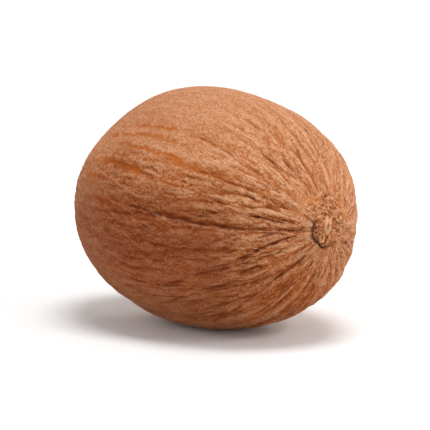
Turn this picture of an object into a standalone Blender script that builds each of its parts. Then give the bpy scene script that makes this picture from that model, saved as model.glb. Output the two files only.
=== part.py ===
"""A whole nutmeg: the dried, shelled seed, lying on its side as one closed solid.

The seed's axis runs along X. The hilum, the round scar where the seed was
attached, is at +X and the chalaza, a small pit, is at -X. The raphe, the main
furrow that joins the two, runs along the front, which faces -Y. A small flat
spot underneath rests on the plane z = 0. Metres, +Z up.

A place on the skin is given by two angles in degrees: the polar angle, from 0
at the hilum to 180 at the chalaza, and the turn around the axis, from 0 at the
front (-Y) through 90 at the top (+Z).
"""
import math
import random
from dataclasses import dataclass

import bmesh
import bpy
from mathutils import Vector

MM = 0.001

# Driving dimensions.
SEED_LENGTH = 27.3 * MM
SEED_WIDTH = 19.6 * MM
HILUM_RADIUS = 1.45 * MM
HILUM_RIM_HEIGHT = 0.06 * MM
HILUM_RIM_WIDTH = 0.32 * MM
HILUM_FLOOR_DEPTH = 0.13 * MM
HILUM_NUB_RADIUS = 0.36 * MM
HILUM_NUB_HEIGHT = 0.08 * MM
CHALAZA_RADIUS = 1.1 * MM
CHALAZA_DEPTH = 0.35 * MM
CHALAZA_LIP = 0.10 * MM
RAPHE_VALLEY_DEPTH = 0.16 * MM
RAPHE_VALLEY_WIDTH = 1.7 * MM
FOOT_DEPTH = 0.15 * MM
FOOT_SMOOTH_FROM = 2.6 * MM
FOOT_SMOOTH_TO = 5.0 * MM

HALF_LENGTH = SEED_LENGTH / 2
HALF_WIDTH = SEED_WIDTH / 2

# Mesh density: segments around the axis, rings from pole to pole, and how
# much closer the rings stand at the two poles than half-way.
SEGMENTS = 124
RINGS = 39
POLE_CROWDING = 0.38

# The body is not an even ovoid: (polar angle, turn, height) of each broad
# swelling, or flattening where the height is negative.
LOBE_SPREAD = 21.0
LOBES = (
    (46, -129, 0.16 * MM),
    (90, -86, -0.20 * MM),
    (130, -32, 0.16 * MM),
    (131, 55, -0.26 * MM),
    (106, 88, 0.20 * MM),
    (42, -170, -0.14 * MM),
    (54, 145, 0.10 * MM),
    (118, 170, -0.16 * MM),
    (92, -152, 0.12 * MM),
)

SKIN_COLOUR = (0.43, 0.186, 0.086, 1.0)
SKIN_ROUGHNESS = 0.78


@dataclass
class Furrow:
    """A groove along the seed, from one polar angle to another, in degrees."""

    turn: float
    start: float
    end: float
    depth: float
    half_width: float
    drift: float = 0.0
    sway: float = 1.5
    phase: float = 0.0


FURROW_FADE = 9.0
FURROW_WAVES = 2.6
FURROW_MAX_TURN = 5.5

RAPHE = Furrow(turn=6.2, start=8, end=96, depth=0.24 * MM, half_width=0.55 * MM, drift=0.03, sway=2.2, phase=3.0)

# The furrows that stand out on the front of the seed.
MAIN_FURROWS = (
    RAPHE,
    Furrow(turn=16, start=12, end=42, depth=0.13 * MM, half_width=0.45 * MM),
    Furrow(turn=34, start=24, end=74, depth=0.14 * MM, half_width=0.60 * MM),
    Furrow(turn=51, start=36, end=112, depth=0.13 * MM, half_width=0.65 * MM),
    Furrow(turn=67, start=22, end=52, depth=0.11 * MM, half_width=0.50 * MM),
    Furrow(turn=-10, start=14, end=46, depth=0.16 * MM, half_width=0.50 * MM, drift=-0.55),
    Furrow(turn=-27, start=12, end=74, depth=0.17 * MM, half_width=0.58 * MM, drift=-0.20),
    Furrow(turn=-42, start=14, end=84, depth=0.16 * MM, half_width=0.60 * MM, drift=-0.12),
)

# Lesser furrows fill the rest of the girth, unevenly.
LESSER_FURROW_COUNT = 27
LESSER_FURROW_SEED = 31
LESSER_FURROW_DEPTH = (0.05 * MM, 0.14 * MM)
LESSER_FURROW_HALF_WIDTH = (0.45 * MM, 0.75 * MM)
LESSER_FURROW_START = (10.0, 26.0)
LESSER_FURROW_END = (70.0, 158.0)
FURROW_CLEARANCE = 6.5


def smoothstep(value):
    value = min(max(value, 0.0), 1.0)
    return value * value * (3.0 - 2.0 * value)


def bump(distance, width):
    """A rounded hump of height 1 at distance 0."""
    return math.exp(-(distance / width) ** 2)


def turn_between(a, b):
    """The smaller turn from b to a, in degrees, from -180 to 180."""
    return (a - b + 180.0) % 360.0 - 180.0


def lesser_furrows():
    """Seeded furrows all around the seed, clear of the main ones."""
    rng = random.Random(LESSER_FURROW_SEED)
    step = 360.0 / LESSER_FURROW_COUNT
    furrows = []
    for index in range(LESSER_FURROW_COUNT):
        furrow = Furrow(
            turn=(index + rng.uniform(-0.3, 0.3)) * step,
            start=rng.uniform(*LESSER_FURROW_START),
            end=rng.uniform(*LESSER_FURROW_END),
            depth=rng.uniform(*LESSER_FURROW_DEPTH),
            half_width=rng.uniform(*LESSER_FURROW_HALF_WIDTH),
            phase=rng.uniform(0.0, math.tau),
        )
        if all(abs(turn_between(furrow.turn, main.turn)) > FURROW_CLEARANCE for main in MAIN_FURROWS):
            furrows.append(furrow)
    return furrows


FURROWS = list(MAIN_FURROWS) + lesser_furrows()


def ovoid_point(polar, turn):
    """A point of the plain ovoid, centred on the origin."""
    polar = math.radians(polar)
    turn = math.radians(turn)
    girth = HALF_WIDTH * math.sin(polar)
    return Vector((HALF_LENGTH * math.cos(polar), -girth * math.cos(turn), girth * math.sin(turn)))


def ovoid_normal(polar, turn):
    """The outward normal of the plain ovoid."""
    point = ovoid_point(polar, turn)
    return Vector((point.x / HALF_LENGTH**2, point.y / HALF_WIDTH**2, point.z / HALF_WIDTH**2)).normalized()


def unit_direction(polar, turn):
    polar = math.radians(polar)
    turn = math.radians(turn)
    return Vector((math.cos(polar), -math.sin(polar) * math.cos(turn), math.sin(polar) * math.sin(turn)))


def lobe_relief(polar, turn):
    """Height of the broad swellings and flattened sides."""
    direction = unit_direction(polar, turn)
    height = 0.0
    for lobe_polar, lobe_turn, lobe_height in LOBES:
        apart = math.degrees(direction.angle(unit_direction(lobe_polar, lobe_turn), 0.0))
        height += lobe_height * bump(apart, LOBE_SPREAD)
    return height


def furrow_centre(furrow, polar):
    """Where a furrow's bottom line lies, as a turn, at one polar angle."""
    middle = (furrow.start + furrow.end) / 2
    wave = math.sin(furrow.phase + FURROW_WAVES * math.radians(polar))
    return furrow.turn + furrow.drift * (polar - middle) + furrow.sway * wave


def furrow_strength(furrow, polar):
    """1 along a furrow, fading to 0 at its two ends."""
    return smoothstep((polar - furrow.start) / FURROW_FADE) * smoothstep((furrow.end - polar) / FURROW_FADE)


def furrow_relief(polar, turn):
    """Depth of all the furrows at one place. Where furrows meet, the deepest counts most."""
    girth = HALF_WIDTH * math.sin(math.radians(polar))
    depth = 0.0
    for furrow in FURROWS:
        strength = furrow_strength(furrow, polar)
        if strength > 0.0:
            across = girth * math.radians(turn_between(turn, furrow_centre(furrow, polar)))
            half_width = min(furrow.half_width, girth * math.radians(FURROW_MAX_TURN))
            depth = math.hypot(depth, furrow.depth * strength * bump(across, half_width))
    valley = girth * math.radians(turn_between(turn, furrow_centre(RAPHE, polar)))
    return depth + RAPHE_VALLEY_DEPTH * furrow_strength(RAPHE, polar) * bump(valley, RAPHE_VALLEY_WIDTH)


def hilum_relief(polar):
    """The scar's raised rim, sunken floor and central nub."""
    if polar > 90.0:
        return 0.0
    out = HALF_WIDTH * math.sin(math.radians(polar))
    rim = HILUM_RIM_HEIGHT * bump(out - HILUM_RADIUS, HILUM_RIM_WIDTH)
    floor = HILUM_FLOOR_DEPTH * smoothstep((HILUM_RADIUS - out) / HILUM_RIM_WIDTH)
    nub = HILUM_NUB_HEIGHT * bump(out, HILUM_NUB_RADIUS)
    return rim - floor + nub


def chalaza_relief(polar):
    """The pit at the other end, with a low lip."""
    if polar < 90.0:
        return 0.0
    out = HALF_WIDTH * math.sin(math.radians(polar))
    return CHALAZA_LIP * bump(out, 2 * CHALAZA_RADIUS) - (CHALAZA_DEPTH + CHALAZA_LIP) * bump(out, CHALAZA_RADIUS)


def away_from_foot(point):
    """0 around the resting spot, 1 well away from it, so that no furrow breaks it."""
    if point.z > 0.0:
        return 1.0
    out = math.hypot(point.x, point.y)
    return smoothstep((out - FOOT_SMOOTH_FROM) / (FOOT_SMOOTH_TO - FOOT_SMOOTH_FROM))


def seed_point(polar, turn):
    """A point of the finished skin, before the seed is set down on its foot."""
    point = ovoid_point(polar, turn)
    relief = lobe_relief(polar, turn) + hilum_relief(polar) + chalaza_relief(polar)
    relief -= furrow_relief(polar, turn) * away_from_foot(point)
    return point + ovoid_normal(polar, turn) * relief


def ring_angle(even_angle):
    """Moves evenly spaced rings closer together near the two poles."""
    return even_angle - math.degrees(POLE_CROWDING * math.sin(2 * math.radians(even_angle)) / 2)


def set_down(mesh):
    """Centres the seed over the origin and rests it on its flat spot at z = 0."""
    lows = [min(vert.co[axis] for vert in mesh.verts) for axis in range(3)]
    highs = [max(vert.co[axis] for vert in mesh.verts) for axis in range(3)]
    shift = Vector(((lows[0] + highs[0]) / 2, (lows[1] + highs[1]) / 2, lows[2] + FOOT_DEPTH))
    for vert in mesh.verts:
        vert.co -= shift
        vert.co.z = max(vert.co.z, 0.0)


def seed_mesh():
    """A globe whose poles become the hilum and the chalaza, shaped place by place."""
    mesh = bmesh.new()
    bmesh.ops.create_uvsphere(mesh, u_segments=SEGMENTS, v_segments=RINGS, radius=1.0)
    for vert in mesh.verts:
        polar = ring_angle(math.degrees(vert.co.angle(Vector((0.0, 0.0, 1.0)))))
        turn = math.degrees(math.atan2(vert.co.y, vert.co.x))
        vert.co = seed_point(polar, turn)
    set_down(mesh)
    bmesh.ops.recalc_face_normals(mesh, faces=mesh.faces)
    data = bpy.data.meshes.new("nutmeg")
    mesh.to_mesh(data)
    mesh.free()
    data.shade_smooth()
    return data


def skin_material():
    """Dry, matt, warm brown skin."""
    material = bpy.data.materials.new("nutmeg_skin")
    material.use_nodes = True
    shader = material.node_tree.nodes["Principled BSDF"]
    shader.inputs["Base Color"].default_value = SKIN_COLOUR
    shader.inputs["Roughness"].default_value = SKIN_ROUGHNESS
    shader.inputs["Metallic"].default_value = 0.0
    return material


def clear_scene():
    for item in list(bpy.data.objects):
        bpy.data.objects.remove(item)


def main():
    clear_scene()
    parts = bpy.data.collections.new("whole_nutmeg")
    bpy.context.scene.collection.children.link(parts)
    nutmeg = bpy.data.objects.new("nutmeg", seed_mesh())
    nutmeg.data.materials.append(skin_material())
    parts.objects.link(nutmeg)


main()
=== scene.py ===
"""The looks of a whole nutmeg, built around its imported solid.

The seed lies along X: the hilum, its round scar, is at +X, the chalaza pit at
-X, and the raphe, the main furrow, runs along the front, which faces -Y. One
skin piece replaces the plain solid. It repeats the solid's own form and adds
the wrinkles, cracks, veins and the crusty scar as real relief, and it carries
the masks that colour them. Metres, +Z up.

A place on the skin is given by two angles in degrees: the polar angle, from 0
at the hilum to 180 at the chalaza, and the turn around the axis, from 0 at the
front (-Y) through 90 at the top (+Z).
"""
import math
import random
from dataclasses import dataclass, replace

import bpy
import numpy as np
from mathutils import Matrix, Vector


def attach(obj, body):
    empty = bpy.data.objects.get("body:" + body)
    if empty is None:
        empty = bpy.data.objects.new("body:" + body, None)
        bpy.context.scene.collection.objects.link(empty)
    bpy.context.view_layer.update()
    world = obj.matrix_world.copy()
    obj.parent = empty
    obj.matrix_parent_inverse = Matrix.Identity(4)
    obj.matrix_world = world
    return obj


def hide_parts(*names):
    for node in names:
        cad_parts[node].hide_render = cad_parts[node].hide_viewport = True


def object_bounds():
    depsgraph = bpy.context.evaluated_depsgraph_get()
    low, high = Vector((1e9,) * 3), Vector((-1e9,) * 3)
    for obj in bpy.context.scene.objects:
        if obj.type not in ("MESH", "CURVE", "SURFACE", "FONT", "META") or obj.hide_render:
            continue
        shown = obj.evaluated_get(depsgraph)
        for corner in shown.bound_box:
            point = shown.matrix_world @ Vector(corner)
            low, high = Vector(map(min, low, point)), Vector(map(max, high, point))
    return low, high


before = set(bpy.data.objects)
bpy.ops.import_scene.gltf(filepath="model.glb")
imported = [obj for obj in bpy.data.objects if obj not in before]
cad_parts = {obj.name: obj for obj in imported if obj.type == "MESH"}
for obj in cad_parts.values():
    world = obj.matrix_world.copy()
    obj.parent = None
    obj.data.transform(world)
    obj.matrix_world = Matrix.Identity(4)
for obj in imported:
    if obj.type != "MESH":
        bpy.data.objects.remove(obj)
cad_low, cad_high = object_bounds()

MM = 0.001

# ---------------------------------------------------------------- the solid's own form

SEED_LENGTH = 27.3 * MM
SEED_WIDTH = 19.6 * MM
HILUM_RADIUS = 1.45 * MM
CHALAZA_RADIUS = 1.1 * MM
CHALAZA_DEPTH = 0.35 * MM
CHALAZA_LIP = 0.10 * MM
RAPHE_VALLEY_DEPTH = 0.16 * MM
RAPHE_VALLEY_WIDTH = 1.7 * MM
FOOT_DEPTH = 0.15 * MM
FOOT_SMOOTH_FROM = 2.6 * MM
FOOT_SMOOTH_TO = 5.0 * MM
HALF_LENGTH = SEED_LENGTH / 2
HALF_WIDTH = SEED_WIDTH / 2

# (polar angle, turn, height) of each broad swelling or flattening.
LOBE_SPREAD = 21.0
LOBES = (
    (46, -129, 0.16 * MM),
    (90, -86, -0.20 * MM),
    (130, -32, 0.16 * MM),
    (131, 55, -0.26 * MM),
    (106, 88, 0.20 * MM),
    (42, -170, -0.14 * MM),
    (54, 145, 0.10 * MM),
    (118, 170, -0.16 * MM),
    (92, -152, 0.12 * MM),
)


@dataclass
class Furrow:
    """A groove along the seed, from one polar angle to another, in degrees.

    lean is how much wider its upper side is than its lower side: above 1 the
    upper side slopes in gently and the lower lip is sharp.
    """

    turn: float
    start: float
    end: float
    depth: float
    half_width: float
    drift: float = 0.0
    sway: float = 1.5
    phase: float = 0.0
    lean: float = 1.0
    # How dark a crack leaves the skin: a stain on most, painted shade along the raphe.
    stain_and_shade: float = 0.0


FURROW_FADE = 9.0
FURROW_WAVES = 2.6
FURROW_MAX_TURN = 5.5
RAPHE = Furrow(turn=6.2, start=8, end=96, depth=0.24 * MM, half_width=0.55 * MM, drift=0.03, sway=2.2, phase=3.0)
MAIN_FURROWS = (
    RAPHE,
    Furrow(turn=16, start=12, end=42, depth=0.13 * MM, half_width=0.45 * MM),
    Furrow(turn=34, start=24, end=74, depth=0.14 * MM, half_width=0.60 * MM),
    Furrow(turn=51, start=36, end=112, depth=0.13 * MM, half_width=0.65 * MM),
    Furrow(turn=67, start=22, end=52, depth=0.11 * MM, half_width=0.50 * MM),
    Furrow(turn=-10, start=14, end=46, depth=0.16 * MM, half_width=0.50 * MM, drift=-0.55),
    Furrow(turn=-27, start=12, end=74, depth=0.17 * MM, half_width=0.58 * MM, drift=-0.20),
    Furrow(turn=-42, start=14, end=84, depth=0.16 * MM, half_width=0.60 * MM, drift=-0.12),
)
LESSER_FURROW_COUNT = 27
LESSER_FURROW_SEED = 31
LESSER_FURROW_DEPTH = (0.05 * MM, 0.14 * MM)
LESSER_FURROW_HALF_WIDTH = (0.45 * MM, 0.75 * MM)
LESSER_FURROW_START = (10.0, 26.0)
LESSER_FURROW_END = (70.0, 158.0)
FURROW_CLEARANCE = 6.5


def smoothstep(value):
    value = np.clip(value, 0.0, 1.0)
    return value * value * (3.0 - 2.0 * value)


def bump(distance, width):
    """A rounded hump of height 1 at distance 0."""
    return np.exp(-(distance / width) ** 2)


def turn_between(a, b):
    """The smaller turn from b to a, in degrees, from -180 to 180."""
    return (a - b + 180.0) % 360.0 - 180.0


def lesser_furrows():
    """The solid's seeded furrows all around, clear of the main ones."""
    rng = random.Random(LESSER_FURROW_SEED)
    step = 360.0 / LESSER_FURROW_COUNT
    furrows = []
    for index in range(LESSER_FURROW_COUNT):
        furrow = Furrow(
            turn=(index + rng.uniform(-0.3, 0.3)) * step,
            start=rng.uniform(*LESSER_FURROW_START),
            end=rng.uniform(*LESSER_FURROW_END),
            depth=rng.uniform(*LESSER_FURROW_DEPTH),
            half_width=rng.uniform(*LESSER_FURROW_HALF_WIDTH),
            phase=rng.uniform(0.0, math.tau),
        )
        if all(abs(turn_between(furrow.turn, main.turn)) > FURROW_CLEARANCE for main in MAIN_FURROWS):
            furrows.append(furrow)
    return furrows


# ---------------------------------------------------------------- finer relief of the skin

# Narrow cracks on the front: they lie in and beside the broad furrows.
CRACK_FADE = 5.0
CRACK_MAX_TURN = 2.4
CRACK_FULL_DEPTH = 0.12 * MM
CRACK_TEETH = 0.10 * MM
CRACKS = (
    # The first three follow the raphe: their stain value paints the shade beside its crisp edge.
    Furrow(turn=5.1, start=9, end=52, depth=0.17 * MM, half_width=0.075 * MM, drift=0.03, sway=2.2, phase=3.0, lean=2.6, stain_and_shade=0.5),
    Furrow(turn=5.8, start=42, end=72, depth=0.14 * MM, half_width=0.075 * MM, drift=0.03, sway=2.2, phase=3.0, lean=2.6, stain_and_shade=0.45),
    Furrow(turn=6.5, start=64, end=92, depth=0.12 * MM, half_width=0.075 * MM, drift=0.03, sway=2.2, phase=3.0, lean=2.4, stain_and_shade=0.35),
    Furrow(turn=10.5, start=45, end=62, depth=0.15 * MM, half_width=0.085 * MM, drift=-0.50, sway=0.6, phase=4.0, stain_and_shade=0.5),
    Furrow(turn=13.6, start=19, end=40, depth=0.12 * MM, half_width=0.101 * MM, drift=0.11, sway=0.4, stain_and_shade=0.9),
    Furrow(turn=-12.9, start=13, end=46, depth=0.15 * MM, half_width=0.108 * MM, drift=-0.58, sway=0.4, stain_and_shade=1.0),
    Furrow(turn=-2.2, start=22, end=35, depth=0.08 * MM, half_width=0.101 * MM, drift=-0.56, sway=0.2, stain_and_shade=0.8),
    Furrow(turn=67.0, start=33, end=47, depth=0.13 * MM, half_width=0.09 * MM, drift=-0.45, sway=0.4, lean=1.4, stain_and_shade=0.35),
    Furrow(turn=69.2, start=29, end=40, depth=0.14 * MM, half_width=0.13 * MM, drift=-0.20, sway=0.3, lean=1.3, stain_and_shade=0.9),
    Furrow(turn=59.9, start=34, end=47, depth=0.14 * MM, half_width=0.12 * MM, drift=0.15, sway=0.4, lean=1.4, stain_and_shade=0.5),
    Furrow(turn=61.7, start=27, end=38, depth=0.14 * MM, half_width=0.12 * MM, drift=-0.62, sway=0.3, lean=1.3, stain_and_shade=0.6),
    Furrow(turn=31.0, start=21, end=36, depth=0.09 * MM, half_width=0.108 * MM, drift=0.27, sway=0.4, stain_and_shade=0.5),
    Furrow(turn=25.4, start=23, end=34, depth=0.09 * MM, half_width=0.108 * MM, drift=0.11, sway=0.4, stain_and_shade=0.5),
    Furrow(turn=37.0, start=17, end=28, depth=0.10 * MM, half_width=0.108 * MM, sway=0.4, stain_and_shade=0.5),
    Furrow(turn=41.5, start=24, end=41, depth=0.08 * MM, half_width=0.08 * MM, drift=-0.24, sway=0.4, stain_and_shade=0.4),
    Furrow(turn=48.5, start=37, end=72, depth=0.11 * MM, half_width=0.085 * MM, drift=0.10, sway=0.8, lean=1.8, stain_and_shade=0.1),
    Furrow(turn=32.4, start=35, end=64, depth=0.13 * MM, half_width=0.09 * MM, sway=0.5, lean=2.2, stain_and_shade=0.1),
    Furrow(turn=-4.5, start=38, end=56, depth=0.12 * MM, half_width=0.085 * MM, drift=-0.52, sway=0.3, lean=1.6, stain_and_shade=0.2),
    Furrow(turn=-14.5, start=39, end=56, depth=0.10 * MM, half_width=0.08 * MM, drift=-0.42, sway=0.3, stain_and_shade=0.2),
    Furrow(turn=-24.6, start=42, end=64, depth=0.13 * MM, half_width=0.115 * MM, drift=-0.08, sway=0.6, lean=1.5, stain_and_shade=0.5),
    Furrow(turn=-29.2, start=31, end=46, depth=0.15 * MM, half_width=0.115 * MM, sway=0.5, lean=1.5, stain_and_shade=0.6),
    Furrow(turn=-29.6, start=63, end=79, depth=0.12 * MM, half_width=0.085 * MM, drift=-0.14, sway=0.5, stain_and_shade=0.4),
    Furrow(turn=-36.0, start=44, end=63, depth=0.14 * MM, half_width=0.121 * MM, drift=0.08, sway=0.6, lean=1.5, stain_and_shade=0.5),
    Furrow(turn=-39.3, start=66, end=78, depth=0.17 * MM, half_width=0.115 * MM, drift=-0.30, sway=0.3, stain_and_shade=0.7),
    Furrow(turn=-48.0, start=12, end=36, depth=0.15 * MM, half_width=0.115 * MM, sway=0.8, lean=1.5, stain_and_shade=0.5),
    Furrow(turn=-62.6, start=13, end=38, depth=0.13 * MM, half_width=0.085 * MM, sway=0.8, stain_and_shade=0.4),
    Furrow(turn=-40.7, start=20, end=62, depth=0.13 * MM, half_width=0.085 * MM, drift=0.24, sway=0.6, lean=1.5, stain_and_shade=0.35),
    Furrow(turn=-39.8, start=58, end=86, depth=0.11 * MM, half_width=0.08 * MM, drift=-0.33, sway=0.4, lean=1.5, stain_and_shade=0.3),
    Furrow(turn=-20.8, start=27, end=60, depth=0.11 * MM, half_width=0.08 * MM, drift=-0.13, sway=0.8, lean=1.4, stain_and_shade=0.35),
    Furrow(turn=-54.5, start=22, end=74, depth=0.14 * MM, half_width=0.09 * MM, drift=-0.38, sway=1.0, lean=1.5, stain_and_shade=0.3),
    Furrow(turn=-74.0, start=18, end=66, depth=0.13 * MM, half_width=0.09 * MM, sway=1.2, lean=1.3, stain_and_shade=0.2),
    Furrow(turn=-84.0, start=16, end=72, depth=0.13 * MM, half_width=0.09 * MM, drift=-0.10, sway=1.0, stain_and_shade=0.2),
    Furrow(turn=46.0, start=36, end=53, depth=0.09 * MM, half_width=0.08 * MM, sway=0.4, lean=1.6, stain_and_shade=0.05),
    Furrow(turn=41.8, start=35, end=54, depth=0.09 * MM, half_width=0.08 * MM, drift=-0.10, sway=0.4, lean=1.6, stain_and_shade=0.05),
    Furrow(turn=53.2, start=56, end=76, depth=0.08 * MM, half_width=0.08 * MM, drift=-0.48, sway=0.4, lean=1.6),
    Furrow(turn=73.7, start=45, end=63, depth=0.07 * MM, half_width=0.08 * MM, sway=0.6),
)

# Seeded cracks of the same kind on the sides that the listed ones leave bare.
# Of each sort: how many, and the ranges of turn, start, length and stain.
SEEDED_CRACK_SORTS = (
    (70, (-180.0, 180.0), (11.0, 75.0), (9.0, 24.0), (0.1, 0.8)),
    (34, (-150.0, -16.0), (22.0, 100.0), (14.0, 40.0), (0.0, 0.3)),
    (22, (-128.0, -48.0), (13.0, 34.0), (34.0, 56.0), (0.0, 0.1)),
)
SEEDED_CRACK_SEED = 19
CRACK_STRAY = 2.6
SEEDED_CRACK_CLEAR = (-18.0, 72.0)

# Seeded wrinkles cover the whole skin: (how many, half width, depth, least and most length in degrees).
WRINKLE_SORTS = (
    (220, 0.22 * MM, 0.110 * MM, 14.0, 46.0),
    (700, 0.12 * MM, 0.065 * MM, 6.0, 26.0),
    (700, 0.07 * MM, 0.050 * MM, 5.0, 22.0),
)
WRINKLE_SEED = 77
WRINKLE_FADE = 5.0
WRINKLE_MAX_TURN = 2.6

# Rounded pleats with creases between them: (cells around, cells along, height, seed).
PLEAT_SORTS = (
    (30, 6, 0.100 * MM, 5),
    (84, 6, 0.070 * MM, 8),
    (62, 13, 0.090 * MM, 6),
    (128, 30, 0.080 * MM, 7),
)
PLEAT_FINEST = 0.22 * MM
PLEAT_ROUNDNESS = 0.34

# The skin is smoother and dustier on the upper half away from the scar.
CALM_LEAST = 0.16

# The side below the raphe is darker and redder, partly its own darker skin and partly painted shade for its dim
# underside: between which turns.
DARK_SHADED_SIDE_TURN = (-88.0, 42.0)
DARK_SHADED_SIDE_FADE = 50.0

# The raphe's lower lip, which stands up beside the furrow: painted pale as a highlight where it faces the light.
RAPHE_LIP_HIGHLIGHT = Furrow(turn=4.6, start=28, end=84, depth=0.28, half_width=0.10 * MM, drift=0.03, sway=2.2, phase=3.0, lean=0.6)

# Amber bands where the pale outer layer is worn off: sharp above, fading below.
AMBER_SINK = 0.030 * MM
AMBER_FADE = 8.0
AMBER_BANDS = (
    Furrow(turn=9.0, start=88, end=112, depth=1.3, half_width=0.40 * MM, drift=0.27, sway=0.5, lean=0.5),
    Furrow(turn=9.3, start=76, end=95, depth=1.0, half_width=0.16 * MM, drift=0.42, lean=0.6),
    Furrow(turn=28.4, start=80, end=113, depth=1.3, half_width=0.36 * MM, drift=0.14, sway=0.5, lean=0.5),
    Furrow(turn=20.2, start=96, end=122, depth=0.9, half_width=0.34 * MM, drift=0.04, sway=0.3, lean=0.5),
    Furrow(turn=32.6, start=34, end=68, depth=0.7, half_width=0.10 * MM, sway=0.5, lean=1.1),
    Furrow(turn=36.2, start=60, end=108, depth=0.9, half_width=0.28 * MM, drift=0.10, sway=0.3, lean=0.6),
    Furrow(turn=50.4, start=40, end=76, depth=0.7, half_width=0.10 * MM, drift=-0.08, sway=0.6, lean=1.1),
    Furrow(turn=43.9, start=66, end=116, depth=0.8, half_width=0.26 * MM, drift=-0.04, sway=0.5, lean=0.6),
    Furrow(turn=49.8, start=74, end=104, depth=0.8, half_width=0.24 * MM, sway=0.5, lean=0.6),
    Furrow(turn=58.5, start=88, end=118, depth=0.5, half_width=0.40 * MM, drift=0.06, sway=0.8, lean=0.6),
    Furrow(turn=66.0, start=60, end=96, depth=0.4, half_width=0.26 * MM, sway=0.8, lean=0.6),
    Furrow(turn=117.0, start=15, end=28, depth=0.8, half_width=0.40 * MM, lean=0.8),
    Furrow(turn=92.0, start=20, end=38, depth=0.3, half_width=0.60 * MM, lean=0.8),
    Furrow(turn=-25.0, start=70, end=106, depth=0.6, half_width=0.26 * MM, drift=0.20, sway=0.6, lean=0.6),
    Furrow(turn=-34.0, start=78, end=112, depth=0.5, half_width=0.26 * MM, drift=0.16, sway=0.6, lean=0.6),
    Furrow(turn=-60.0, start=16, end=58, depth=0.8, half_width=0.16 * MM, sway=1.0, lean=1.4),
    Furrow(turn=-72.0, start=22, end=70, depth=0.8, half_width=0.16 * MM, sway=1.2, lean=1.4),
    Furrow(turn=-86.0, start=20, end=66, depth=0.8, half_width=0.16 * MM, drift=-0.06, sway=1.0, lean=1.4),
    Furrow(turn=-99.0, start=28, end=74, depth=0.8, half_width=0.16 * MM, drift=-0.06, sway=1.0, lean=1.4),
)
AMBER_SEEDED = 18
AMBER_SEED = 12


def grid_noise(turn, polar, around, along, seed):
    """Gradient noise on the skin, about -1 to 1, seamless around the axis."""
    rng = np.random.RandomState(seed)
    angle = rng.uniform(0.0, math.tau, (along + 2, around))
    u = (turn % 360.0) / 360.0 * around
    v = np.clip(polar / 180.0, 0.0, 1.0) * along
    cell_u = np.floor(u).astype(int)
    cell_v = np.floor(v).astype(int)
    in_u = u - cell_u
    in_v = v - cell_v
    blend_u = in_u**3 * (in_u * (in_u * 6 - 15) + 10)
    blend_v = in_v**3 * (in_v * (in_v * 6 - 15) + 10)

    def corner(step_u, step_v):
        here = angle[cell_v + step_v, (cell_u + step_u) % around]
        return np.cos(here) * (in_u - step_u) + np.sin(here) * (in_v - step_v)

    near = corner(0, 0) * (1 - blend_u) + corner(1, 0) * blend_u
    far = corner(0, 1) * (1 - blend_u) + corner(1, 1) * blend_u
    return (near * (1 - blend_v) + far * blend_v) * 1.5


def furrow_centre(furrow, polar):
    """Where a furrow's bottom line lies, as a turn, at one polar angle."""
    middle = (furrow.start + furrow.end) / 2
    wave = np.sin(furrow.phase + FURROW_WAVES * np.radians(polar))
    return furrow.turn + furrow.drift * (polar - middle) + furrow.sway * wave


# ---------------------------------------------------------------- the grid of the skin

SEGMENTS = 640
RINGS = 155
# How far apart the rings stand over the scar, over the pit and elsewhere.
SCAR_STEP = 0.06
PIT_STEP = 0.16
PLAIN_STEP = 0.30
FINE_TO = 2.2
PLAIN_FROM = 6.0


def ring_angles():
    """Polar angles of the rings, from one pole to the other."""
    fine = np.radians(np.linspace(0.0, 180.0, 6001))
    speed = np.hypot(HALF_LENGTH * np.sin(fine), HALF_WIDTH * np.cos(fine)) / MM
    out = np.concatenate([[0.0], np.cumsum((speed[1:] + speed[:-1]) / 2 * np.diff(fine))])
    plainness = PLAIN_FROM - FINE_TO
    near_scar = SCAR_STEP + (PLAIN_STEP - SCAR_STEP) * smoothstep((out - FINE_TO) / plainness)
    near_pit = PIT_STEP + (PLAIN_STEP - PIT_STEP) * smoothstep((out[-1] - out - FINE_TO) / plainness)
    step = np.minimum(near_scar, near_pit)
    count = np.concatenate([[0.0], np.cumsum(np.diff(out) / ((step[1:] + step[:-1]) / 2))])
    return np.degrees(np.interp(np.linspace(0.0, count[-1], RINGS + 1), count, fine))


polar = ring_angles()[:, None]
turn = (np.arange(SEGMENTS) * 360.0 / SEGMENTS - 180.0)[None, :]
girth = HALF_WIDTH * np.sin(np.radians(polar))
all_turns = turn + 0 * polar
all_polars = polar + 0 * turn

# Unit vectors of the plain ovoid: place on the unit globe, and outward normal.
globe = np.stack([
    np.cos(np.radians(all_polars)),
    -np.sin(np.radians(all_polars)) * np.cos(np.radians(all_turns)),
    np.sin(np.radians(all_polars)) * np.sin(np.radians(all_turns)),
], axis=-1)
half_sizes = np.array([HALF_LENGTH, HALF_WIDTH, HALF_WIDTH])
ovoid = globe * half_sizes
normal = globe / half_sizes
normal /= np.linalg.norm(normal, axis=-1, keepdims=True)
across_scar = ovoid[..., 1] / MM
up_scar = ovoid[..., 2] / MM


# What makes the grooves waver, in degrees of turn.
WAVER = ((26, 30, 0.8, 25), (70, 90, 0.45, 26), (150, 160, 0.25, 27))
waver = sum(size * grid_noise(all_turns, all_polars, around, along, seed) for around, along, size, seed in WAVER)


def groove(furrow, fade, max_turn, teeth=None):
    """The rings a groove crosses, and its profile there, 1 deep along its bottom line.

    teeth is a map of turns that makes the groove's edges ragged.
    """
    rows = slice(*np.searchsorted(polar[:, 0], (furrow.start, furrow.end)))
    centre = furrow_centre(furrow, polar[rows])
    ragged = waver[rows] if teeth is None else waver[rows] + teeth[rows]
    across = girth[rows] * np.radians(turn_between(turn + ragged, centre))
    half_width = np.minimum(furrow.half_width, girth[rows] * math.radians(max_turn))
    half_width = np.where(across > 0.0, half_width * furrow.lean, half_width)
    ends = smoothstep((polar[rows] - furrow.start) / fade) * smoothstep((furrow.end - polar[rows]) / fade)
    return rows, ends * bump(across, half_width)


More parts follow.
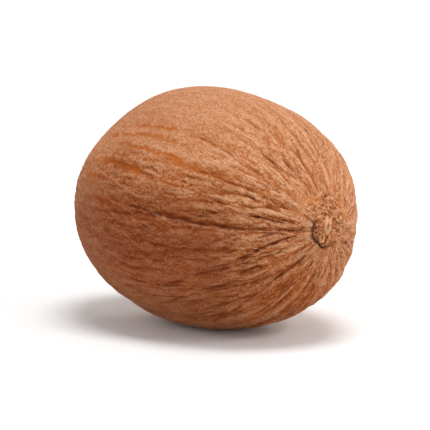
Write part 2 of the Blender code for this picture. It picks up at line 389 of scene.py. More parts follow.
def deepen(depth, furrow, fade, max_turn):
    """Adds a groove to a depth map. Where grooves meet, the deepest counts most."""
    rows, profile = groove(furrow, fade, max_turn)
    depth[rows] = np.hypot(depth[rows], furrow.depth * profile)


def blur_around(values, width):
    """The values averaged around each ring over a distance of about width."""
    waves = np.arange(SEGMENTS // 2 + 1)[None, :]
    spread = width / np.maximum(girth, 0.2 * MM)
    return np.fft.irfft(np.fft.rfft(values, axis=1) * np.exp(-(waves * spread) ** 2 / 2), n=SEGMENTS, axis=1)


# ---------------------------------------------------------------- relief, from broad to fine


def lobe_relief():
    height = 0.0
    for lobe_polar, lobe_turn, lobe_height in LOBES:
        lobe_polar = math.radians(lobe_polar)
        lobe_turn = math.radians(lobe_turn)
        centre = np.array([
            math.cos(lobe_polar),
            -math.sin(lobe_polar) * math.cos(lobe_turn),
            math.sin(lobe_polar) * math.sin(lobe_turn),
        ])
        apart = np.degrees(np.arccos(np.clip(globe @ centre, -1.0, 1.0)))
        height = height + lobe_height * bump(apart, LOBE_SPREAD)
    return height


def furrow_relief():
    depth = np.zeros_like(all_turns)
    for furrow in list(MAIN_FURROWS) + lesser_furrows():
        deepen(depth, furrow, FURROW_FADE, FURROW_MAX_TURN)
    rows, _ = groove(RAPHE, FURROW_FADE, FURROW_MAX_TURN)
    middle = furrow_centre(RAPHE, polar[rows])
    across = girth[rows] * np.radians(turn_between(turn, middle))
    ends = smoothstep((polar[rows] - RAPHE.start) / FURROW_FADE)
    ends = ends * smoothstep((RAPHE.end - polar[rows]) / FURROW_FADE)
    depth[rows] += RAPHE_VALLEY_DEPTH * ends * bump(across, RAPHE_VALLEY_WIDTH)
    return -depth


def pit_relief():
    """The chalaza: a pit with a low lip and small creases running into it."""
    far = polar > 90.0
    creases = 1.0 + 0.5 * grid_noise(all_turns, all_polars, 14, 12, 41)
    lip = CHALAZA_LIP * bump(girth, 2 * CHALAZA_RADIUS)
    return far * (lip - (CHALAZA_DEPTH * creases + CHALAZA_LIP) * bump(girth, CHALAZA_RADIUS))


def calmness():
    """How much of its full wrinkling each place has, from CALM_LEAST to 1."""
    lower = smoothstep((42.0 - turn) / 14.0) * smoothstep((turn + 165.0) / 40.0)
    lower = lower * (0.45 + 0.55 * smoothstep((122.0 - polar) / 30.0))
    belly = smoothstep((-10.0 - turn) / 24.0) * smoothstep((turn + 150.0) / 40.0) * smoothstep((polar - 26.0) / 30.0)
    lower = lower * (1.0 - 0.60 * belly)
    near_scar = smoothstep((80.0 - polar) / 42.0)
    behind = 0.62 * smoothstep((80.0 - np.abs(turn_between(turn, -172.0))) / 40.0)
    patchy = 0.6 * grid_noise(all_turns, all_polars, 11, 8, 21)
    under = bump(turn + 92.0, 48.0) * smoothstep((polar - 12.0) / 14.0)
    near_scar = near_scar * (1.0 - 0.45 * under)
    strength = np.maximum(0.90 * lower, (0.60 + 0.65 * lower) * near_scar)
    strength = np.maximum(strength, behind) + 0.45 * patchy
    return CALM_LEAST + (1.0 - CALM_LEAST) * np.clip(strength, 0.0, 1.25)


def red_side():
    """The front, where the skin is at its reddest, 0 to 1."""
    ragged = turn + 9.0 * grid_noise(all_turns, all_polars, 14, 12, 33)
    ahead = bump(ragged + 10.0, 36.0)
    return ahead * smoothstep((polar - 36.0) / 34.0) * smoothstep((124.0 - polar) / 40.0)


def warm_side():
    """The chalaza half and the lower edge of the scar's end, where the skin is more orange."""
    ragged = turn + 10.0 * grid_noise(all_turns, all_polars, 12, 10, 36)
    under = bump(ragged + 64.0, 54.0) * smoothstep((polar - 10.0) / 12.0) * smoothstep((78.0 - polar) / 34.0)
    under = under * (1.0 - 0.6 * smoothstep((polar - 38.0) / 20.0))
    far = smoothstep((all_polars + 8.0 * grid_noise(all_turns, all_polars, 9, 9, 37) - 74.0) / 34.0)
    left = 0.55 * far * bump(ragged - 22.0, 44.0)
    return np.maximum(np.maximum(under, left), 0.30 * far * (1.0 - bump(turn_between(turn, 82.0), 52.0)))


def dark_and_shaded_side():
    """How far each place is on the darker side, 0 to 1, with a ragged border: partly darker skin, partly painted shade.
    """
    first, last = DARK_SHADED_SIDE_TURN
    ragged = turn + 12.0 * grid_noise(all_turns, all_polars, 12, 12, 28) + 5.0 * grid_noise(all_turns, all_polars, 50, 40, 29)
    between = smoothstep((last - ragged) / DARK_SHADED_SIDE_FADE) * smoothstep((ragged - first) / DARK_SHADED_SIDE_FADE)
    return between * (0.10 + 0.90 * smoothstep((polar - 20.0) / 38.0))


def seeded_wrinkles():
    rng = random.Random(WRINKLE_SEED)
    depth = np.zeros_like(all_turns)
    for count, half_width, deepest, shortest, longest in WRINKLE_SORTS:
        for _ in range(count):
            start = rng.uniform(8.0, 168.0 - shortest)
            wrinkle = Furrow(
                turn=rng.uniform(-180.0, 180.0),
                start=start,
                end=start + rng.uniform(shortest, longest),
                depth=deepest * rng.uniform(0.4, 1.0),
                half_width=half_width * rng.uniform(0.7, 1.3),
                drift=rng.gauss(0.0, 0.12),
                sway=rng.uniform(0.2, 1.4),
                phase=rng.uniform(0.0, math.tau),
                lean=rng.uniform(0.8, 1.9),
            )
            deepen(depth, wrinkle, WRINKLE_FADE, WRINKLE_MAX_TURN)
    return -depth


def pleat_relief():
    """Wavy pleats of three sizes that run along the seed and into each other."""
    waves = 5.0 * grid_noise(all_turns, all_polars, 9, 7, 22) + 1.8 * grid_noise(all_turns, all_polars, 26, 20, 23)
    waves = waves + 0.9 * grid_noise(all_turns, all_polars, 64, 66, 24)
    height = np.zeros_like(all_turns)
    for around, along, tallest, seed in PLEAT_SORTS:
        cell = math.tau * girth / around
        shown = smoothstep(cell / PLEAT_FINEST - 0.4)
        pleat = np.abs(grid_noise(all_turns + waves, all_polars, around, along, seed)) / PLEAT_ROUNDNESS
        patchy = np.clip(0.75 + 0.7 * grid_noise(all_turns, all_polars, around // 4, along, seed + 40), 0.15, 1.2)
        height += tallest * shown * patchy * (np.minimum(pleat, 1.0) ** 0.65 - 0.7)
    return height


def seeded_cracks():
    rng = random.Random(SEEDED_CRACK_SEED)
    cracks = []
    for count, turns, starts, lengths, stains in SEEDED_CRACK_SORTS:
        for _ in range(count):
            start = rng.uniform(*starts)
            length = rng.uniform(*lengths)
            crack = Furrow(
                turn=rng.uniform(*turns),
                start=start,
                end=start + length,
                depth=rng.uniform(0.06, 0.15) * MM,
                half_width=rng.uniform(0.06, 0.10) * MM,
                lean=rng.uniform(1.0, 1.8),
                drift=rng.gauss(0.0, CRACK_STRAY / length),
                sway=rng.uniform(0.3, 1.0),
                phase=rng.uniform(0.0, math.tau),
                stain_and_shade=rng.uniform(*stains),
            )
            first, last = SEEDED_CRACK_CLEAR
            if not first < crack.turn < last:
                cracks.append(crack)
    return cracks


def crack_relief():
    """The narrow cracks: their relief, where they lie and how dark each leaves the skin, a stain along most and painted
    shade along the raphe.
    """
    depth = np.zeros_like(all_turns)
    line = np.zeros_like(all_turns)
    stain_and_shade = np.zeros_like(all_turns)
    teeth = np.degrees(CRACK_TEETH / np.maximum(girth, 1.0 * MM)) * grid_noise(all_turns, all_polars, 260, 90, 35)
    for crack in list(CRACKS) + seeded_cracks():
        rows, profile = groove(crack, CRACK_FADE, CRACK_MAX_TURN, teeth)
        depth[rows] = np.hypot(depth[rows], crack.depth * profile)
        line[rows] = np.maximum(line[rows], min(1.0, crack.depth / CRACK_FULL_DEPTH) * profile)
        rows, profile = groove(replace(crack, lean=1.0), CRACK_FADE, CRACK_MAX_TURN, teeth)
        stain_and_shade[rows] = np.maximum(stain_and_shade[rows], crack.stain_and_shade * profile**1.5)
    broken = np.clip(0.9 + 0.6 * grid_noise(all_turns, all_polars, 40, 60, 31), 0.3, 1.2)
    return -depth * broken, np.clip(line * broken, 0.0, 1.0), np.clip(stain_and_shade * broken, 0.0, 1.0)


def amber_mask():
    """Where the pale outer layer is worn to the amber one, with ragged, toothed edges."""
    rng = random.Random(AMBER_SEED)
    bands = list(AMBER_BANDS)
    for _ in range(AMBER_SEEDED):
        start = rng.uniform(50.0, 125.0)
        bands.append(Furrow(
            turn=rng.uniform(75.0, 325.0),
            start=start,
            end=start + rng.uniform(16.0, 40.0),
            depth=rng.uniform(0.4, 0.9),
            half_width=rng.uniform(0.25, 0.5) * MM,
            lean=0.5,
            drift=rng.uniform(-0.2, 0.2),
        ))
    teeth = 2.0 * grid_noise(all_turns, all_polars, 44, 130, 53) + 0.8 * grid_noise(all_turns, all_polars, 120, 210, 54)
    cover = np.zeros_like(all_turns)
    for band in bands:
        rows, profile = groove(band, AMBER_FADE, 12.0, teeth)
        cover[rows] = np.maximum(cover[rows], band.depth * profile)
    worn = 0.22 * grid_noise(all_turns, all_polars, 26, 34, 52)
    return np.clip(cover + worn * smoothstep(cover / 0.3), 0.0, 1.0)


SPECK_DEPTH = 0.03 * MM


def speck_mask():
    """Small dark pits scattered over the skin, two of them beside the scar."""
    rng = random.Random(9)
    places = [(20.0, 142.0, 0.13), (18.6, -153.7, 0.16)]
    places += [(rng.uniform(20.0, 160.0), rng.uniform(-180.0, 180.0), rng.uniform(0.05, 0.11)) for _ in range(46)]
    mask = np.zeros_like(all_turns)
    for speck_polar, speck_turn, radius in places:
        along = HALF_WIDTH / MM * 1.2 * np.radians(polar - speck_polar)
        across = girth / MM * np.radians(turn_between(turn, speck_turn))
        mask = np.maximum(mask, bump(np.hypot(along, across), radius))
    return mask


# ---------------------------------------------------------------- the scar

# The hilum is a sunken disc of crumbly cells around an oval one, with black crust
# along its lower edge and a broken patch of skin above it. Places on it are in
# millimetres: across, which grows towards the back, and up.
SCAR_SEED = 4
GOLDEN = 0.618034
SCAR_RADIUS = 1.42
SCAR_CENTRE = (0.20, 0.30)
SCAR_CENTRE_STRETCH = 1.7
SCAR_RING = (0.27, 0.44)
SCAR_CAP = (0.27, 0.84)
SCAR_CAP_RADIUS = 0.20
SCAR_CELL_ROWS = ((0.60, 8), (0.95, 12), (1.27, 17))
SCAR_FRAME_ROW = (1.70, 19)
SCAR_PATCH_CELLS = 64
SCAR_PATCH_OUT = (1.6, 3.0)
SCAR_PATCH_TURN = (74.0, 150.0)
# (turn, thickness of the crust there in millimetres), all the way around.
CRUST_EDGE = ((-180, 0.07), (-150, 0.02), (-125, 0.09), (-92, 0.12), (-70, 0.16), (-25, 0.26), (18, 0.28), (34, 0.04),
              (60, -0.1), (130, -0.1), (155, 0.05), (180, 0.07))
# Dark pits and scabs: (across, up, radius, how black).
SCAR_MARKS = (
    (-1.00, 0.76, 0.13, 0.8),
    (-0.24, 0.94, 0.14, 0.5),
    (-1.16, 0.30, 0.13, 0.7),
    (-1.02, -0.10, 0.12, 0.6),
    (0.89, 0.76, 0.17, 0.7),
    (0.40, -0.18, 0.11, 0.4),
    (0.62, -0.50, 0.15, 0.4),
    (0.16, -0.62, 0.11, 1.0),
    (0.00, -0.80, 0.11, 1.0),
    (1.30, -0.23, 0.14, 0.6),
    (0.20, 0.30, 0.11, 0.6),
    (-0.09, 2.64, 0.10, 0.7),
    (0.10, 2.40, 0.11, 0.7),
    (0.36, 2.62, 0.11, 0.8),
    (0.22, 2.80, 0.07, 0.8),
    (0.74, 2.15, 0.13, 0.5),
    (1.19, 1.58, 0.14, 0.5),
    (0.95, 1.90, 0.09, 0.6),
    (0.45, 1.62, 0.08, 0.5),
    (0.05, 1.70, 0.08, 0.4),
)


def scar_cells():
    """The middles of the cells: (across, up, how far it is part of the scar)."""
    rng = random.Random(SCAR_SEED)
    cells = [(*SCAR_CENTRE, 1.0)]
    for out, count in SCAR_CELL_ROWS:
        pull = 1.0 - out / SCAR_RADIUS
        for index in range(count):
            angle = math.radians((index + rng.uniform(-0.36, 0.36)) * 360.0 / count)
            here = out + rng.uniform(-0.11, 0.11)
            across = SCAR_CENTRE[0] * pull - here * math.cos(angle)
            up = SCAR_CENTRE[1] * pull + here * math.sin(angle)
            cells.append((across, up, 1.0))
    out, count = SCAR_FRAME_ROW
    for index in range(count):
        angle = math.radians((index + rng.uniform(-0.2, 0.2)) * 360.0 / count)
        cells.append((-out * math.cos(angle), out * math.sin(angle), 0.0))
    for _ in range(SCAR_PATCH_CELLS):
        out = rng.uniform(*SCAR_PATCH_OUT)
        angle = math.radians(rng.uniform(*SCAR_PATCH_TURN))
        cells.append((-out * math.cos(angle), out * math.sin(angle), rng.choice((0.3, 0.7, 0.7))))
    return cells


def scar_relief():
    """Relief of the hilum and its patch, and how far each place is scar, crust and pale crumb."""
    near = (polar < 40.0) + 0 * turn
    jitter = all_polars * 4.0
    across = across_scar + 0.09 * grid_noise(all_turns, jitter, 11, 12, 61) + 0.03 * grid_noise(all_turns, jitter, 40, 60, 65)
    up = up_scar + 0.09 * grid_noise(all_turns, jitter, 11, 12, 62) + 0.03 * grid_noise(all_turns, jitter, 40, 60, 66)
    nearest = np.full_like(all_turns, 9.0)
    second = np.full_like(all_turns, 9.0)
    kind = np.zeros_like(all_turns)
    tint = np.zeros_like(all_turns)
    for index, (cell_across, cell_up, cell_kind) in enumerate(scar_cells()):
        stretch = SCAR_CENTRE_STRETCH if index == 0 else 1.0
        away = np.hypot((across - cell_across) * stretch**0.4, (up - cell_up) / stretch**0.6)
        closer = away < nearest
        second = np.where(closer, nearest, np.minimum(second, away))
        kind = np.where(closer, cell_kind, kind)
        tint = np.where(closer, index * GOLDEN % 1.0, tint)
        nearest = np.minimum(nearest, away)
    wall = bump(second - nearest, 0.11) * np.clip(0.7 + 1.3 * grid_noise(all_turns, jitter, 34, 40, 67), 0.2, 1.2)
    out = np.hypot(across, up)
    ring_across, ring_up = SCAR_RING
    ring_out = np.hypot((across - SCAR_CENTRE[0]) / ring_across, (up - SCAR_CENTRE[1]) / ring_up)
    # Some of the borders between cells stand up pale, the others gape.
    standing = smoothstep((grid_noise(all_turns, jitter, 18, 26, 69) + 0.15) / 0.3)
    gap = np.where(ring_out < 1.25, 0.0, wall * (1.0 - standing)) * near
    wall = np.where(ring_out < 1.25, 0.0, wall * standing)
    cap = bump(np.hypot((across - SCAR_CAP[0]) / 1.4, up - SCAR_CAP[1]), SCAR_CAP_RADIUS)
    wall = np.maximum(np.maximum(wall, 1.4 * bump(ring_out - 1.0, 0.40)), 1.4 * cap) * near
    ragged = out + 0.07 * grid_noise(all_turns, jitter, 60, 70, 68)
    disc = smoothstep((SCAR_RADIUS + 0.06 - ragged) / 0.12) * near
    patch = kind * (1.0 - disc) * near * smoothstep((3.2 - out) / 0.5)
    floor = np.clip(disc + patch, 0.0, 1.0)
    edge_turns, thicknesses = zip(*CRUST_EDGE)
    thickness = np.interp(turn, edge_turns, thicknesses) * (0.9 + 0.8 * grid_noise(all_turns, jitter, 30, 44, 64))
    crust = 0.95 * smoothstep((thickness - np.abs(out - SCAR_RADIUS + thickness * 0.6)) / 0.07) * near
    for mark_across, mark_up, radius, black in SCAR_MARKS:
        away = np.hypot(across - mark_across, up - mark_up)
        crust = np.maximum(crust, black * near * smoothstep((radius * 1.3 - away) / (radius * 0.8)))
    crumbs = grid_noise(all_turns, jitter, 70, 130, 63) * smoothstep(girth / (0.4 * MM))
    dome = 0.10 * (tint - 0.3) * (1.0 - smoothstep(nearest / 0.30))
    relief = floor * (0.15 * wall * (1.0 - crust) + dome - 0.10 * gap - 0.13 + 0.09 * crumbs) - 0.17 * crust
    pale = floor * (np.minimum(wall, 1.0) + 0.25 * tint + 0.5 * crumbs) * (1.0 - crust) * (1.0 - gap)
    gaping = floor * gap * (1.0 - crust)
    return relief * MM, floor, crust, np.clip(pale, 0.0, 1.0), gaping


# ---------------------------------------------------------------- the skin piece


def away_from_foot():
    """0 around the resting spot, 1 well away from it, so that no groove breaks it."""
    out = np.hypot(ovoid[..., 0], ovoid[..., 1])
    below = smoothstep((out - FOOT_SMOOTH_FROM) / (FOOT_SMOOTH_TO - FOOT_SMOOTH_FROM))
    return np.where(ovoid[..., 2] > 0.0, 1.0, below)


def skin_places():
    """The place of every grid point, and the masks that colour it."""
    clear = away_from_foot()
    strength = calmness()
    crack, crack_line, stain_and_shade = crack_relief()
    scar, scar_floor, crust, pale, gaping = scar_relief()
    amber = amber_mask()
    specks = speck_mask()
    off_scar = 1.0 - scar_floor
    strength = np.maximum(strength, bump(girth / MM - 2.0, 1.2) * (polar < 90.0))
    # A painted highlight along the raphe's lit lower lip, added to the pale mask.
    rows, lip = groove(RAPHE_LIP_HIGHLIGHT, FURROW_FADE, FURROW_MAX_TURN)
    lip = lip * (0.6 + 2.0 * grid_noise(all_turns, all_polars, 90, 60, 71)[rows])
    pale[rows] = np.clip(np.maximum(pale[rows], RAPHE_LIP_HIGHLIGHT.depth * lip), 0.0, 1.0)
    folds = (seeded_wrinkles() + pleat_relief()) * strength
    fine = (folds + crack - AMBER_SINK * amber - SPECK_DEPTH * specks) * clear * off_scar + scar
    broad = lobe_relief() + furrow_relief() * clear
    relief = broad + pit_relief() + fine
    shape = ovoid + normal * broad[..., None]
    low = shape.reshape(-1, 3).min(0)
    high = shape.reshape(-1, 3).max(0)
    shift = np.array([(low[0] + high[0]) / 2, (low[1] + high[1]) / 2, low[2] + FOOT_DEPTH])
    places = ovoid + normal * relief[..., None] - shift
    places = np.clip(places, np.array(cad_low), np.array(cad_high))
    folds = folds * off_scar
    # How deep each place lies in a fine crease and in a broad valley; the material darkens the colour there, partly as
    # painted shade.
    creases = (blur_around(folds, 0.30 * MM) - folds) / (0.045 * MM)
    valleys = (blur_around(relief, 0.90 * MM) - relief) / (0.14 * MM)
    return places, {
        "creases": np.clip(creases, -1.5, 2.5),
        "valleys": np.clip(valleys, -1.0, 1.5),
        "crack": crack_line * off_scar,
        "stain_and_shade": stain_and_shade * off_scar,
        "amber": amber * off_scar,
        "speck": specks,
        "scar": scar_floor,
        "crust": crust,
        "pale": pale,
        "gaping": gaping,
        "wrinkling": strength,
        "darkness_and_shade": dark_and_shaded_side(),
        "redness": red_side(),
        "warmth": warm_side(),
        # Lighter skin around the scar, and a painted highlight on the top towards the scar.
        "pallor_and_highlight": bump(girth / MM - 2.4, 2.4) * (polar < 90.0) + bump(turn_between(turn, 92.0), 48.0) * bump(polar - 48.0, 30.0),
        "pit": bump(girth, CHALAZA_RADIUS) * (polar > 90.0) + 0 * turn,
    }


def grain_coordinates():
    """Coordinates in millimetres in which noise draws out into streaks along the seed."""
    warp = 3.0 * grid_noise(all_turns, all_polars, 8, 6, 71) + 1.0 * grid_noise(all_turns, all_polars, 22, 18, 72)
    angle = np.radians(all_turns + warp)
    radius = HALF_WIDTH / MM * (0.22 + 0.78 * np.sin(np.radians(all_polars)))
    along = np.radians(all_polars) * HALF_LENGTH / MM * 0.16
    return np.stack([radius * np.cos(angle), radius * np.sin(angle), along], axis=-1)


def poles_joined(grid):
    """The grid as a flat list of points, each pole's ring joined into one point."""
    values = grid.reshape(grid.shape[0], SEGMENTS, -1)
    return np.concatenate([values[0].mean(0)[None], values[1:-1].reshape(-1, values.shape[2]), values[-1].mean(0)[None]])


def skin_object():
    places, masks = skin_places()
    points = poles_joined(places)
    last = len(points) - 1

    def point(ring, segment):
        return 1 + (ring - 1) * SEGMENTS + segment % SEGMENTS

    faces = []
    corners = []
    height = (polar[:, 0] / 180.0 * 0.996 + 0.002).tolist()

    def column(segment):
        return segment / SEGMENTS * 0.996 + 0.002

    for segment in range(SEGMENTS):
        faces.append((0, point(1, segment), point(1, segment + 1)))
        corners += [(column(segment + 0.5), height[0]), (column(segment), height[1]), (column(segment + 1), height[1])]
    for ring in range(1, RINGS - 1):
        for segment in range(SEGMENTS):
            faces.append((point(ring, segment), point(ring + 1, segment), point(ring + 1, segment + 1), point(ring, segment + 1)))
            left = column(segment)
            right = column(segment + 1)
            corners += [(left, height[ring]), (left, height[ring + 1]), (right, height[ring + 1]), (right, height[ring])]
    for segment in range(SEGMENTS):
        faces.append((point(RINGS - 1, segment), last, point(RINGS - 1, segment + 1)))
        corners += [
            (column(segment), height[RINGS - 1]),
            (column(segment + 0.5), height[RINGS]),
            (column(segment + 1), height[RINGS - 1]),
        ]
    mesh = bpy.data.meshes.new("nutmeg_skin")
    mesh.from_pydata(points.tolist(), [], faces)
    uv = mesh.uv_layers.new(name="OFBake")
    uv.data.foreach_set("uv", np.array(corners, dtype=np.float32).ravel())
    for name, grid in masks.items():
        attribute = mesh.attributes.new(name, "FLOAT", "POINT")
        attribute.data.foreach_set("value", poles_joined(grid).ravel().astype(np.float32))
    attribute = mesh.attributes.new("grain", "FLOAT_VECTOR", "POINT")
    attribute.data.foreach_set("vector", poles_joined(grain_coordinates()).ravel().astype(np.float32))
    mesh.shade_smooth()
    mesh.update()
    skin = bpy.data.objects.new("nutmeg_skin", mesh)
    bpy.context.scene.collection.objects.link(skin)
    return skin


# ---------------------------------------------------------------- the skin's material

# Colours of the skin, in linear light.
UMBER = (0.105, 0.028, 0.012)
CHESTNUT = (0.255, 0.064, 0.016)
SIENNA = (0.330, 0.078, 0.014)
RUSSET = (0.410, 0.114, 0.027)
TAN = (0.485, 0.164, 0.054)
FAWN = (0.565, 0.235, 0.102)
PALE = (0.680, 0.360, 0.200)
# Multiplies the darker side: partly darker skin, partly painted shade.
DARKENING_AND_SHADE = (0.61, 0.49, 0.41)
REDDENING = (0.85, 0.70, 0.59)
WARMING = (0.86, 0.74, 0.62)
AMBER = (0.490, 0.120, 0.012)
PLUM = (0.080, 0.026, 0.022)
# Multiplies the crack stains, and the painted shade along the raphe.
STAIN_AND_SHADE_TINT = (0.24, 0.14, 0.22)
CRUST = (0.052, 0.030, 0.024)
ASH = (0.150, 0.105, 0.095)
SCAR_TAN = (0.720, 0.225, 0.046)
SCAR_PALE = (0.880, 0.520, 0.310)
GAP = (0.190, 0.046, 0.016)


class Shading:
    """Small helpers for building a node tree."""

    def __init__(self, material):
        self.tree = material.node_tree

    def node(self, kind, inputs=None, **settings):
        node = self.tree.nodes.new(kind)
        for name, value in settings.items():
            setattr(node, name, value)
        for name, value in (inputs or {}).items():
            socket = node.inputs[name]
            if isinstance(value, bpy.types.NodeSocket):
                self.tree.links.new(value, socket)
            else:
                socket.default_value = value
        return node

    def mask(self, name):
        return self.node("ShaderNodeAttribute", attribute_name=name).outputs["Fac"]

    def noise(self, vector, scale, detail=3.0, roughness=0.55, distortion=0.0):
        inputs = {"Vector": vector, "Scale": scale, "Detail": detail, "Roughness": roughness, "Distortion": distortion}
        return self.node("ShaderNodeTexNoise", inputs).outputs["Fac"]

    def spread(self, value, low, high, bottom=0.0, top=1.0):
        """Maps low..high to bottom..top, held at the ends."""
        inputs = {"Value": value, "From Min": low, "From Max": high, "To Min": bottom, "To Max": top}
        return self.node("ShaderNodeMapRange", inputs, interpolation_type="SMOOTHSTEP").outputs["Result"]

    def maths(self, operation, first, second):
        node = self.tree.nodes.new("ShaderNodeMath")
        node.operation = operation
        for socket, value in zip(node.inputs, (first, second)):
            if isinstance(value, bpy.types.NodeSocket):
                self.tree.links.new(value, socket)
            else:
                socket.default_value = value
        return node.outputs[0]

    def blend(self, factor, first, second, mode="MIX"):
        node = self.tree.nodes.new("ShaderNodeMix")
        node.data_type = "RGBA"
        node.blend_type = mode
        for index, value in ((0, factor), (6, first), (7, second)):
            if isinstance(value, bpy.types.NodeSocket):
                self.tree.links.new(value, node.inputs[index])
            elif index == 0:
                node.inputs[index].default_value = value
            else:
                node.inputs[index].default_value = (*value, 1.0)
        return node.outputs[2]


def skin_material():
    material = bpy.data.materials.new("nutmeg_skin")
    material.use_nodes = True
    shading = Shading(material)
    shader = material.node_tree.nodes["Principled BSDF"]
    grain = shading.node("ShaderNodeAttribute", attribute_name="grain").outputs["Vector"]
    place = shading.node("ShaderNodeTexCoord").outputs["Object"]
    scaled = shading.node("ShaderNodeVectorMath", {0: place, 3: 1.0 / MM}, operation="SCALE").outputs[0]

    wobble = shading.node("ShaderNodeTexNoise", {"Vector": scaled, "Scale": 0.9, "Detail": 2.0}).outputs["Color"]
    waved = shading.node("ShaderNodeVectorMath", {0: wobble, 1: (0.5, 0.5, 0.5)}, operation="SUBTRACT").outputs[0]
    waved = shading.node("ShaderNodeVectorMath", {0: waved, 3: 1.1}, operation="SCALE").outputs[0]
    waved = shading.node("ShaderNodeVectorMath", {0: grain, 1: waved}, operation="ADD").outputs[0]

    wrinkling = shading.mask("wrinkling")
    blotch = shading.noise(scaled, 0.22, 3.0)
    streak = shading.noise(waved, 1.5, 3.0, 0.5)
    fibre = shading.noise(waved, 3.4, 3.0, 0.6)
    thread = shading.noise(waved, 8.0, 2.0, 0.6)
    mottle = shading.noise(scaled, 1.7, 3.0, 0.6)
    granule = shading.noise(scaled, 4.8, 3.0, 0.7)
    fleck = shading.noise(scaled, 8.5, 2.0, 0.6)

    # Fine pleats: rounded ridges with creases where the stretched noise crosses its middle.
    pleat = shading.maths("ABSOLUTE", shading.maths("SUBTRACT", streak, 0.5), 0.0)
    pleat = shading.maths("POWER", shading.spread(pleat, 0.0, 0.11), 0.6)
    fold = shading.maths("ABSOLUTE", shading.maths("SUBTRACT", fibre, 0.5), 0.0)
    fold = shading.maths("POWER", shading.spread(fold, 0.0, 0.11), 0.6)
    pleat = shading.maths("ADD", shading.maths("MULTIPLY", pleat, 0.32), shading.maths("MULTIPLY", fold, 0.40))
    pleat = shading.maths("SUBTRACT", pleat, 0.50)
    pleat = shading.maths("MULTIPLY", pleat, shading.spread(wrinkling, 0.15, 1.0, 0.30, 1.0))

    # One height field roughens the skin and colours it, so that what is low is also dark: partly the skin's own darker
    # hollows, partly painted shade in them.
    height = pleat
    for noise, calm_share, wrinkled_share in (
        (fibre, 0.35, 0.4), (thread, 0.2, 0.6), (granule, 0.6, 0.25), (fleck, 1.6, 1.1),
    ):
        share = shading.spread(wrinkling, 0.2, 0.9, calm_share, wrinkled_share)
        centred = shading.maths("SUBTRACT", noise, 0.5)
        height = shading.maths("ADD", height, shading.maths("MULTIPLY", centred, share))

    # Creases and valleys in the mesh shift the same level darker: partly darker skin in the hollows, partly painted
    # shade there.
    level = shading.maths("MULTIPLY", height, 1.05)
    level = shading.maths("ADD", level, shading.maths("MULTIPLY", shading.maths("SUBTRACT", mottle, 0.5), 0.45))
    level = shading.maths("ADD", level, shading.maths("MULTIPLY", shading.mask("creases"), -0.23))
    # Lighter around the scar, plus a painted highlight on the top.
    level = shading.maths("ADD", level, shading.maths("MULTIPLY", shading.mask("pallor_and_highlight"), 0.05))
    level = shading.maths("ADD", level, shading.maths("MULTIPLY", shading.mask("valleys"), -0.12))
    level = shading.maths("ADD", level, shading.spread(wrinkling, 0.2, 1.0, 0.80, 0.70))

    ramp = shading.tree.nodes.new("ShaderNodeValToRGB")
    stops = ((0.0, CHESTNUT), (0.26, RUSSET), (0.50, TAN), (0.74, FAWN), (1.0, PALE))
    while len(ramp.color_ramp.elements) < len(stops):
        ramp.color_ramp.elements.new(0.5)
    for element, (position, tint) in zip(ramp.color_ramp.elements, stops):
        element.position = position
        element.color = (*tint, 1.0)
    shading.tree.links.new(level, ramp.inputs["Fac"])
    colour = ramp.outputs["Color"]

    colour = shading.blend(shading.maths("MULTIPLY", shading.spread(blotch, 0.48, 0.66), 0.30), colour, RUSSET)
    ragged = shading.maths("SUBTRACT", shading.maths("ADD", fibre, granule), 1.0)
    worn = shading.maths("ADD", shading.mask("amber"), shading.maths("MULTIPLY", ragged, 0.8))
    worn = shading.maths("MULTIPLY", worn, shading.spread(shading.mask("amber"), 0.0, 0.2))
    worn = shading.maths("MULTIPLY", shading.spread(worn, 0.20, 0.55), shading.spread(mottle, 0.35, 0.62, 0.95, 0.65))
    worn = shading.maths("MULTIPLY", worn, shading.spread(shading.mask("amber"), 0.2, 0.8, 0.45, 1.0))
    colour = shading.blend(worn, colour, shading.blend(shading.spread(shading.mask("amber"), 0.8, 1.4), AMBER, SIENNA))
    broken = shading.maths("ADD", shading.mask("crack"), shading.maths("MULTIPLY", ragged, 0.7))
    broken = shading.maths("MULTIPLY", broken, shading.spread(shading.mask("crack"), 0.0, 0.15))
    colour = shading.blend(shading.spread(broken, 0.36, 0.85, 0.0, 0.72), colour, SIENNA)
    dots = shading.spread(shading.noise(scaled, 9.0, 1.0, 0.5), 0.60, 0.68, 0.0, 0.6)
    dots = shading.maths("MULTIPLY", dots, shading.spread(wrinkling, 0.2, 0.8, 1.0, 0.25))
    colour = shading.blend(dots, colour, CHESTNUT)
    # The darker lower front: partly the skin's own tone, partly painted shade.
    colour = shading.blend(shading.mask("darkness_and_shade"), colour, DARKENING_AND_SHADE, "MULTIPLY")
    colour = shading.blend(shading.mask("redness"), colour, REDDENING, "MULTIPLY")
    colour = shading.blend(shading.mask("warmth"), colour, WARMING, "MULTIPLY")
    # Crack stains, and painted shade along the raphe.
    colour = shading.blend(shading.mask("stain_and_shade"), colour, STAIN_AND_SHADE_TINT, "MULTIPLY")
    colour = shading.blend(shading.maths("MULTIPLY", shading.mask("speck"), 0.8), colour, PLUM)
    colour = shading.blend(shading.maths("MULTIPLY", shading.mask("scar"), 0.75), colour, SCAR_TAN)
    # The pale mask: pale walls and crumbs of the scar, and the painted highlight on the raphe's lower lip.
    colour = shading.blend(shading.maths("MULTIPLY", shading.mask("pale"), 0.75), colour, SCAR_PALE)
    colour = shading.blend(shading.maths("MULTIPLY", shading.mask("gaping"), 0.8), colour, GAP)
    ashen = shading.spread(granule, 0.45, 0.62)
    crusted = shading.blend(ashen, CRUST, ASH)
    colour = shading.blend(shading.maths("MULTIPLY", shading.mask("crust"), 0.92), colour, crusted)
    colour = shading.blend(shading.maths("MULTIPLY", shading.mask("pit"), 0.7), colour, UMBER)
    shading.tree.links.new(colour, shader.inputs["Base Color"])

